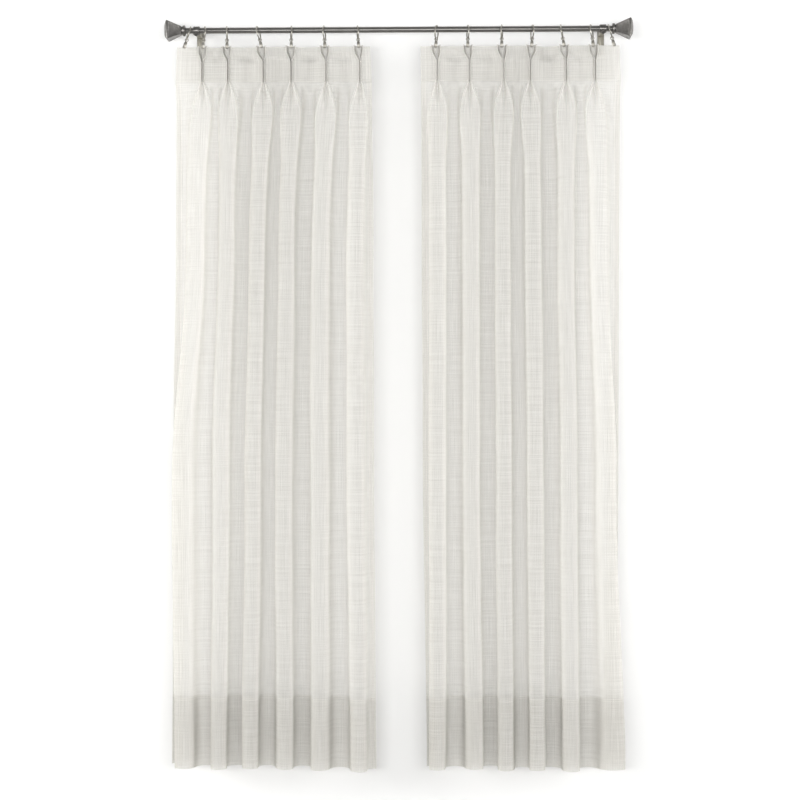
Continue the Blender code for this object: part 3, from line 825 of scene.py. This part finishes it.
def sheet_from(name, layers):
    """One mesh from several layers, each a grid of points with cloth places and steepness."""
    points, faces, places, steep = [], [], [], []
    for grid, place, lean in layers:
        tall, wide = grid.shape[:2]
        first = sum(len(part) for part in points)
        index = first + np.arange(tall * wide).reshape(tall, wide)
        quads = np.stack((index[:-1, :-1], index[1:, :-1], index[1:, 1:], index[:-1, 1:]), axis=-1)
        points.append(grid.reshape(-1, 3))
        places.append(place.reshape(-1, 2))
        steep.append(lean.reshape(-1))
        faces.append(quads.reshape(-1, 4))
    points, faces = np.concatenate(points), np.concatenate(faces)
    places, steep = np.concatenate(places), np.concatenate(steep)
    mesh = bpy.data.meshes.new(name)
    mesh.from_pydata(points.tolist(), [], faces.tolist())
    corners = np.empty(len(mesh.loops), dtype=np.int32)
    mesh.loops.foreach_get("vertex_index", corners)
    flat = mesh.uv_layers.new(name="cloth")
    flat.data.foreach_set("uv", places[corners].astype(np.float32).ravel())
    leaning = mesh.attributes.new("steep", "FLOAT", "POINT")
    leaning.data.foreach_set("value", steep.astype(np.float32))
    mesh.shade_smooth()
    obj = bpy.data.objects.new(name, mesh)
    bpy.context.scene.collection.objects.link(obj)
    return obj


# Operators

class MakePanels(bpy.types.Operator):
    """Hang the two panels of voile"""

    bl_idname = "curtain.make_panels"
    bl_label = "Panels"

    def execute(self, context):
        settings = context.scene.curtain_cloth
        for word, panel in PANELS.items():
            columns = panel.columns()
            drops = body_drops()
            turned = LAYER_GAP * np.array((0.0, 0.6, 1.0))
            main = panel.layer(columns, [(drop, 0.0) for drop in drops])
            heading = panel.layer(columns, [(drop, LAYER_GAP) for drop in drops[drops <= HEADING_DROP + 1e-6]]
                                  + [(HEADING_DROP, LAYER_GAP)])
            up = np.linspace(CLOTH_DROP - HEM_TURN, HEM_DROP, 12)
            hem_rows = list(zip((CLOTH_DROP, CLOTH_DROP - 0.2 * HEM_TURN, CLOTH_DROP - HEM_TURN), turned))
            hem_rows += [(drop, LAYER_GAP) for drop in up[1:]]
            hem = panel.layer(columns, hem_rows)
            side_rows = [(drop, LAYER_GAP * 0.85) for drop in drops[drops >= HEADING_DROP - 1e-6]]
            strip = np.linspace(0, SIDE_HEM, 5)
            left = panel.layer(strip, side_rows)
            right = panel.layer(panel.width - strip[::-1], side_rows)
            made = sheet_from(f"voile_{word}", [main, heading, hem, left, right])
            finish = voile(f"ivory_voile_{word}", panel.width, settings)
            made.data.materials.append(finish)
            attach(made, "root")
            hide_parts(f"panel_{word}")
            first = 1 if word == "left" else 8
            clips = [f"clip_{number:02d}" for number in range(first, first + 7)]
        return {"FINISHED"}


class MakeRod(bpy.types.Operator):
    """Make the rod"""

    bl_idname = "curtain.make_rod"
    bl_label = "Rod"

    def execute(self, context):
        settings = context.scene.curtain_metal
        deselect()
        bpy.ops.mesh.primitive_cylinder_add(vertices=64, radius=ROD_RADIUS, depth=2 * ROD_HALF_LENGTH,
                                            location=(0, ROD_Y, 0), rotation=(0, math.pi / 2, 0))
        rod = fresh("rod_tube")
        bpy.ops.object.mode_set(mode="EDIT")
        choose(rod, lambda middle, normal: abs(normal.x) > 0.9)
        bpy.ops.mesh.inset(thickness=0.0006)
        bpy.ops.mesh.inset(thickness=0.0011)
        bpy.ops.mesh.extrude_region_move()
        bpy.ops.transform.resize(value=((ROD_HALF_LENGTH - 0.003) / ROD_HALF_LENGTH, 1, 1),
                                 center_override=(0, ROD_Y, 0))
        bpy.ops.object.mode_set(mode="OBJECT")
        modify(rod, "Edges", "BEVEL", width=0.0004, segments=2, limit_method="ANGLE",
               angle_limit=math.radians(60))
        dress(rod, brushed_metal("satin_pewter_tube", settings.pewter, settings.pewter_dark, 0.34),
              ["rod"])
        return {"FINISHED"}


class MakeFinials(bpy.types.Operator):
    """Make the collars and the square flared ends"""

    bl_idname = "curtain.make_finials"
    bl_label = "Finials"

    def collar(self):
        sections = ((0.6300, 0.0124), (0.6303, 0.0138), (0.6308, 0.0149), (0.6316, 0.0156), (0.6328, 0.0161),
                    (0.6344, 0.0162), (0.6360, 0.0161), (0.6372, 0.0156), (0.6380, 0.0149), (0.6385, 0.0138),
                    (0.6389, 0.0126), (0.6410, 0.0122))
        start, half = sections[0]
        deselect()
        bpy.ops.mesh.primitive_cylinder_add(vertices=48, radius=half, depth=0.0002,
                                            location=(start + 0.0001, ROD_Y, 0),
                                            rotation=(0, math.pi / 2, 0))
        made = fresh("collar_pattern")
        bpy.ops.object.mode_set(mode="EDIT")
        choose(made, lambda middle, normal: normal.x > 0.9)
        draw_out(((start + 0.0002, half),) + sections[1:], (ROD_Y, 0))
        bpy.ops.object.mode_set(mode="OBJECT")
        modify(made, "Edges", "BEVEL", width=0.00025, segments=2, limit_method="ANGLE",
               angle_limit=math.radians(28))
        return made

    def flare(self):
        # Columns: distance from the rod's middle, half the width of the square
        sections = ((0.6413, 0.0120), (0.6440, 0.0130), (0.6560, 0.0172), (0.6690, 0.0224), (0.6802, 0.0267),
                    (0.6818, 0.0275), (0.6834, 0.0275), (0.6848, 0.0262), (0.6868, 0.0233), (0.6890, 0.0189),
                    (0.6912, 0.0118), (0.6924, 0.0055))
        start, half = sections[0]
        deselect()
        bpy.ops.mesh.primitive_cube_add(size=1, location=(start + 0.0002, ROD_Y, 0),
                                        scale=(0.0004, 2 * half, 2 * half))
        made = fresh("flare_pattern")
        bpy.ops.object.mode_set(mode="EDIT")
        choose(made, lambda middle, normal: normal.x > 0.9)
        draw_out(((start + 0.0004, half),) + sections[1:], (ROD_Y, 0))
        # A shallow panel is sunk into each of the four flared sides
        for axis, way in ((1, -1), (1, 1), (2, -1), (2, 1)):
            choose(made, lambda middle, normal: normal[axis] * way > 0.7 and 0.6450 < middle.x < 0.6798)
            bpy.ops.mesh.inset(thickness=0.0026, depth=0.0)
            bpy.ops.mesh.inset(thickness=0.0007, depth=-0.0006)
        bpy.ops.object.mode_set(mode="OBJECT")
        modify(made, "Edges", "BEVEL", width=0.0007, segments=3, limit_method="ANGLE",
               angle_limit=math.radians(35))
        return made

    def execute(self, context):
        settings = context.scene.curtain_metal
        finish = satin_metal("satin_pewter", settings.pewter, settings.pewter_dark, 0.36, 0.12)
        collar, flare = self.collar(), self.flare()
        for word, side in (("left", -1), ("right", 1)):
            place = Matrix.Scale(side, 4, (1, 0, 0))
            dress(copied(collar, f"turned_collar_{word}", place), finish,
                  [f"finial_collar_{word}"])
            dress(copied(flare, f"square_finial_{word}", place), finish, [f"finial_{word}"])
        bpy.data.objects.remove(collar, do_unlink=True)
        bpy.data.objects.remove(flare, do_unlink=True)
        return {"FINISHED"}


class MakeBrackets(bpy.types.Operator):
    """Make the wall brackets and their set screws"""

    bl_idname = "curtain.make_brackets"
    bl_label = "Brackets"

    def plate(self, x):
        deselect()
        bpy.ops.mesh.primitive_cube_add(size=1, location=(x, -PLATE_SIZE[1] / 2, PLATE_MIDDLE_Z),
                                        scale=PLATE_SIZE)
        made = fresh("plate")
        bpy.ops.object.mode_set(mode="EDIT")
        choose(made, lambda middle, way: abs(way.y) > 0.9, "EDGE")
        bpy.ops.mesh.bevel(offset=0.0030, segments=5, affect="EDGES")
        bpy.ops.object.mode_set(mode="OBJECT")
        deselect()
        bpy.ops.mesh.primitive_cube_add(size=1, location=(x, -PLATE_SIZE[1] / 2, SLOT_MIDDLE_Z),
                                        scale=(SLOT_SIZE[0], 3 * PLATE_SIZE[1], SLOT_SIZE[1]))
        slot = fresh("slot")
        bpy.ops.object.mode_set(mode="EDIT")
        choose(slot, lambda middle, way: abs(way.y) > 0.9, "EDGE")
        bpy.ops.mesh.bevel(offset=0.49 * SLOT_SIZE[0], segments=6, affect="EDGES")
        bpy.ops.object.mode_set(mode="OBJECT")
        modify(made, "Slot", "BOOLEAN", operation="DIFFERENCE", object=slot)
        bpy.data.objects.remove(slot, do_unlink=True)
        modify(made, "Edges", "BEVEL", width=0.0005, segments=2, limit_method="ANGLE",
               angle_limit=math.radians(50))
        return made

    def arm(self, x):
        front = ROD_Y + ROD_RADIUS + FIT_GAP + 0.6 * CRADLE_WALL
        back = -PLATE_SIZE[1] + 0.0004
        deselect()
        bpy.ops.mesh.primitive_cube_add(size=1, location=(x, (front + back) / 2, 0),
                                        scale=(ARM_SIZE[0], back - front, ARM_SIZE[1]))
        made = fresh("arm")
        bpy.ops.object.mode_set(mode="EDIT")
        choose(made, lambda middle, normal: normal.y > 0.9)
        bpy.ops.transform.resize(value=(1.25, 1, 1.35), center_override=(x, back, 0))
        bpy.ops.object.mode_set(mode="OBJECT")
        modify(made, "Edges", "BEVEL", width=0.0014, segments=3, limit_method="ANGLE",
               angle_limit=math.radians(50))
        return made

    def cradle(self, x):
        inner = ROD_RADIUS + FIT_GAP
        middle = inner + CRADLE_WALL / 2
        start = math.radians(CRADLE_FROM_DEG)
        # Zero degrees points at the wall and a quarter turn points up
        place = (Matrix.Translation((x, ROD_Y, 0)) @ Matrix.Rotation(start, 4, "X")
                 @ Matrix.Translation((0, middle, 0)))
        deselect()
        bpy.ops.mesh.primitive_plane_add(size=1, location=(0, 0, 0))
        bpy.context.object.scale = (CRADLE_WIDTH, CRADLE_WALL, 1)
        bpy.ops.object.transform_apply(location=True, rotation=True, scale=True)
        made = fresh("cradle", place)
        outer = inner + CRADLE_WALL - 0.0004
        bpy.ops.object.mode_set(mode="EDIT")
        bpy.ops.mesh.select_all(action="SELECT")
        bpy.ops.mesh.spin(steps=40, angle=-math.radians(CRADLE_TO_DEG - CRADLE_FROM_DEG),
                          center=(x, ROD_Y, 0), axis=(1, 0, 0))
        bpy.ops.object.mode_set(mode="OBJECT")
        point_faces_out(made)
        # The two long outer edges are rounded far over, which crowns the band
        bpy.ops.object.mode_set(mode="EDIT")
        choose(made, lambda middle, way: (abs(way.x) < 0.1 and abs(middle.x - x) > 0.49 * CRADLE_WIDTH
                                          and math.hypot(middle.y - ROD_Y, middle.z) > outer), "EDGE")
        bpy.ops.mesh.bevel(offset=0.0030, segments=5, affect="EDGES")
        bpy.ops.object.mode_set(mode="OBJECT")
        return made

    def screw(self):
        sections = ((0.0, 0.0026), (0.0035, 0.0026), (0.0036, 0.0056), (0.0042, 0.0062), (0.0070, 0.0062),
                    (0.0082, 0.0056), (0.0088, 0.0046))
        start, half = sections[0]
        deselect()
        bpy.ops.mesh.primitive_cylinder_add(vertices=36, radius=half, depth=0.0002,
                                            location=(start + 0.0001, 0, 0), rotation=(0, math.pi / 2, 0))
        made = fresh("screw_pattern")
        bpy.ops.object.mode_set(mode="EDIT")
        choose(made, lambda middle, normal: normal.x > 0.9)
        draw_out(((start + 0.0002, half),) + sections[1:], (0, 0))
        bpy.ops.mesh.inset(thickness=0.0018)
        bpy.ops.mesh.extrude_region_move(TRANSFORM_OT_translate={"value": (-0.0020, 0, 0)})
        bpy.ops.object.mode_set(mode="OBJECT")
        modify(made, "Edges", "BEVEL", width=0.0002, segments=2, limit_method="ANGLE",
               angle_limit=math.radians(40))
        return made

    def execute(self, context):
        settings = context.scene.curtain_metal
        paint = painted_metal("painted_bracket", settings.taupe)
        metal = satin_metal("dark_screw", settings.pewter, settings.pewter_dark, 0.32, 0.10)
        screw = self.screw()
        for word, x in BRACKET_X.items():
            made = join(self.plate(x), self.arm(x))
            made.name = made.data.name = f"wall_bracket_{word}"
            dress(made, paint, [f"bracket_{word}"])
            band = self.cradle(x)
            band.name = band.data.name = f"rod_cradle_{word}"
            dress(band, metal, [f"bracket_{word}"])
            place = (Matrix.Translation((x, ROD_Y, 0)) @ Matrix.Rotation(-math.pi / 2, 4, "Z")
                     @ Matrix.Rotation(-math.radians(SCREW_ANGLE_DEG), 4, "Y")
                     @ Matrix.Translation((SCREW_START, 0, 0)))
            dress(copied(screw, f"round_screw_{word}", place), metal, [f"set_screw_{word}"])
        bpy.data.objects.remove(screw, do_unlink=True)
        return {"FINISHED"}


class MakeRings(bpy.types.Operator):
    """Make the ring gliders"""

    bl_idname = "curtain.make_rings"
    bl_label = "Rings"

    def execute(self, context):
        settings = context.scene.curtain_metal
        finish = satin_metal("aged_nickel_rings", settings.nickel, settings.nickel_dark, 0.32, 0.08)
        deselect()
        bpy.ops.mesh.primitive_torus_add(major_segments=96, minor_segments=16, major_radius=RING_MAJOR,
                                         minor_radius=RING_WIRE, rotation=(0, math.pi / 2, 0))
        pattern = fresh("ring_pattern")
        bpy.ops.object.mode_set(mode="EDIT")
        # The butt joint of the wire, a hair thicker than the rest
        choose(pattern, lambda middle, normal: middle.z > 0 and abs(middle.y) < 0.0007)
        bpy.ops.transform.shrink_fatten(value=0.00012)
        bpy.ops.object.mode_set(mode="OBJECT")
        for number, row in enumerate(RINGS, start=1):
            dress(copied(pattern, f"wire_ring_{number:02d}", ring_place(row)), finish,
                  [f"ring_{number:02d}"])
        bpy.data.objects.remove(pattern, do_unlink=True)
        return {"FINISHED"}


class MakeClips(bpy.types.Operator):
    """Make the spring clips"""

    bl_idname = "curtain.make_clips"
    bl_label = "Clips"

    def jaw(self, side):
        """One pressed jaw, drawn down from the neck to a lip that turns away from the cloth."""
        # Columns: height above the cloth's edge, distance from the cloth's middle, half width
        sections = ((0.0142, 0.0006, 0.0024), (0.0130, 0.0008, 0.0034), (0.0105, 0.0012, 0.0041),
                    (0.0070, 0.0018, 0.0045), (0.0030, 0.0018, 0.0048), (-0.0005, 0.0013, 0.0050),
                    (-0.0030, 0.0012, 0.0050), (-0.0050, 0.0013, 0.0045), (-0.0060, 0.0016, 0.0036),
                    (-0.0066, 0.0020, 0.0024))
        z, out, half = sections[0]
        deselect()
        bpy.ops.mesh.primitive_plane_add(size=1, location=(0, 0, 0), rotation=(math.pi / 2, 0, 0))
        bpy.context.object.scale = (2 * half, 0.0004, 1)
        made = fresh("jaw")
        bpy.ops.object.mode_set(mode="EDIT")
        bpy.ops.mesh.select_all(action="SELECT")
        bpy.ops.transform.translate(value=(0, side * out, z + 0.0002))
        choose(made, lambda middle, way: abs(way.x) > 0.9 and middle.z < z + 0.0001, "EDGE")
        for (near_z, near_out, near_half), (far_z, far_out, far_half) in zip(sections, sections[1:]):
            bpy.ops.mesh.extrude_region_move(TRANSFORM_OT_translate={
                "value": (0, side * (far_out - near_out), far_z - near_z)})
            bpy.ops.transform.resize(value=(far_half / near_half, 1, 1),
                                     center_override=(0, side * far_out, far_z))
        bpy.ops.object.mode_set(mode="OBJECT")
        point_faces_out(made)
        modify(made, "Plate", "SOLIDIFY", thickness=0.0006, offset=0.0)
        modify(made, "Edges", "BEVEL", width=0.00015, segments=2, limit_method="ANGLE",
               angle_limit=math.radians(50))
        return made

    def neck(self):
        """The crimped sleeve that holds the two jaws under the eye."""
        sections = ((0.0115, 0.0018), (0.0122, 0.0021), (0.0135, 0.0021), (0.0142, 0.0018))
        deselect()
        bpy.ops.mesh.primitive_cylinder_add(vertices=24, radius=sections[0][1], depth=0.0002,
                                            location=(0, 0, sections[0][0]))
        made = fresh("neck")
        bpy.ops.object.mode_set(mode="EDIT")
        choose(made, lambda middle, normal: normal.z > 0.9)
        for (z, half), (next_z, next_half) in zip(sections, sections[1:]):
            bpy.ops.mesh.extrude_region_move(TRANSFORM_OT_translate={"value": (0, 0, next_z - z)})
            share = next_half / half
            bpy.ops.transform.resize(value=(share, share, 1), center_override=(0, 0, next_z))
        bpy.ops.mesh.select_all(action="SELECT")
        bpy.ops.transform.resize(value=(1.15, 0.68, 1), center_override=(0, 0, 0.013))
        bpy.ops.object.mode_set(mode="OBJECT")
        return made

    def eye(self):
        deselect()
        bpy.ops.mesh.primitive_torus_add(major_segments=40, minor_segments=12, major_radius=CLIP_EYE_MAJOR,
                                         minor_radius=CLIP_EYE_WIRE, location=(0, 0, CLIP_EYE_HEIGHT),
                                         rotation=(math.pi / 2, 0, 0))
        return fresh("eye")

    def execute(self, context):
        settings = context.scene.curtain_metal
        finish = satin_metal("aged_nickel_clips", settings.nickel, settings.nickel_dark, 0.34, 0.08)
        pattern = join(self.eye(), self.neck(), self.jaw(-1), self.jaw(1))
        for number, row in enumerate(RINGS, start=1):
            panel = PANELS["left" if row[1] < 0 else "right"]
            place = clip_place(row, panel.top_y(row[1]))
            dress(copied(pattern, f"spring_clip_{number:02d}", place), finish,
                  [f"clip_{number:02d}"])
        bpy.data.objects.remove(pattern, do_unlink=True)
        return {"FINISHED"}


class MakeStage(bpy.types.Operator):
    """Set up the floor, the backdrop, the soft lights and the camera"""

    bl_idname = "curtain.make_stage"
    bl_label = "Stage"

    def light(self, name, place, aim, size, power, colour, tall=None):
        deselect()
        way = (Vector(aim) - Vector(place)).to_track_quat("-Z", "Y").to_euler()
        bpy.ops.object.light_add(type="AREA", location=place, rotation=way)
        made = bpy.context.object
        made.name = name
        made.data.size = size
        if tall is not None:
            made.data.shape = "RECTANGLE"
            made.data.size_y = tall
        made.data.energy = power
        made.data.color = colour
        made.visible_camera = False

    def execute(self, context):
        settings = context.scene.curtain_stage
        deselect()
        bpy.ops.mesh.primitive_plane_add(size=24, location=(0, 0, -2.32))
        floor = fresh("floor")
        floor.data.materials.append(matt("pale_floor", (0.80, 0.79, 0.77)))
        floor.visible_glossy = False
        deselect()
        bpy.ops.mesh.primitive_plane_add(size=24, location=(0, 0.0006, 0), rotation=(math.pi / 2, 0, 0))
        backdrop = fresh("backdrop")
        backdrop.data.materials.append(matt("pale_backdrop", (0.97, 0.97, 0.965), one_sided=True))
        self.light("key_light", (-8.0, -3.0, 0.4), (0, 0, -0.9), 2.6, settings.key, (1.0, 0.995, 0.985))
        self.light("fill_light", (8.0, -3.2, 0.2), (0, 0, -1.0), 3.0, settings.fill, (0.985, 0.99, 1.0))
        self.light("front_light", (-0.2, -6.6, -1.1), (-0.2, 0, -0.9), 7.6, settings.front, (1.0, 1.0, 1.0),
                   tall=1.1)
        world = bpy.data.worlds.new("room_light")
        world.use_nodes = True
        world.node_tree.nodes["Background"].inputs["Color"].default_value = (0.95, 0.96, 0.97, 1.0)
        world.node_tree.nodes["Background"].inputs["Strength"].default_value = settings.sky
        context.scene.world = world
        aim = Vector((0.0056, ROD_Y, -1.0936))
        way = Vector((math.sin(settings.azimuth), -math.cos(settings.azimuth), 0.0))
        deselect()
        bpy.ops.object.camera_add(location=aim + way * settings.distance,
                                  rotation=(math.pi / 2, 0, settings.azimuth))
        camera = bpy.context.object
        camera.name = "camera"
        camera.data.sensor_width = 36.0
        camera.data.lens = 36.0 * settings.distance / settings.width
        context.scene.camera = camera
        context.scene.view_settings.view_transform = "Standard"
        context.scene.cycles.transparent_max_bounces = 8
        context.scene.cycles.diffuse_bounces = 2
        context.scene.cycles.transmission_bounces = 2
        context.scene.cycles.max_bounces = 4
        context.scene.cycles.light_sampling_threshold = 0.05
        context.scene.cycles.use_light_tree = False
        return {"FINISHED"}


class CurtainSidebar(bpy.types.Panel):
    """Lists the pieces in the 3D view's sidebar"""

    bl_idname = "VIEW3D_PT_curtains"
    bl_label = "Voile curtains"
    bl_space_type = "VIEW_3D"
    bl_region_type = "UI"
    bl_category = "Curtains"

    def draw(self, context):
        for group in ("curtain_cloth", "curtain_metal", "curtain_stage"):
            settings = getattr(context.scene, group)
            box = self.layout.box()
            for key in settings.__annotations__:
                box.prop(settings, key)
        for operator in OPERATORS:
            self.layout.operator(operator.bl_idname)


SETTINGS = {"curtain_cloth": CurtainCloth, "curtain_metal": CurtainMetal, "curtain_stage": CurtainStage}
OPERATORS = (MakeStage, MakeRod, MakeFinials, MakeBrackets, MakeRings, MakeClips, MakePanels)
PANELS = {
    "left": Panel(LEFT_PLEATS, LEFT_EDGES, LEFT_FOLDS, LEFT_CREASES, 11),
    "right": Panel(RIGHT_PLEATS, RIGHT_EDGES, RIGHT_FOLDS, RIGHT_CREASES, 12),
}


def register():
    for made in (*SETTINGS.values(), *OPERATORS, CurtainSidebar):
        bpy.utils.register_class(made)
    for name, group in SETTINGS.items():
        setattr(bpy.types.Scene, name, bpy.props.PointerProperty(type=group))


def unregister():
    for name in SETTINGS:
        delattr(bpy.types.Scene, name)
    for made in (CurtainSidebar, *reversed(OPERATORS), *reversed(SETTINGS.values())):
        bpy.utils.unregister_class(made)


def main():
    register()
    bpy.ops.curtain.make_stage()
    bpy.ops.curtain.make_rod()
    bpy.ops.curtain.make_finials()
    bpy.ops.curtain.make_brackets()
    bpy.ops.curtain.make_rings()
    bpy.ops.curtain.make_clips()
    bpy.ops.curtain.make_panels()
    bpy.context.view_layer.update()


if __name__ == "__main__":
    main()
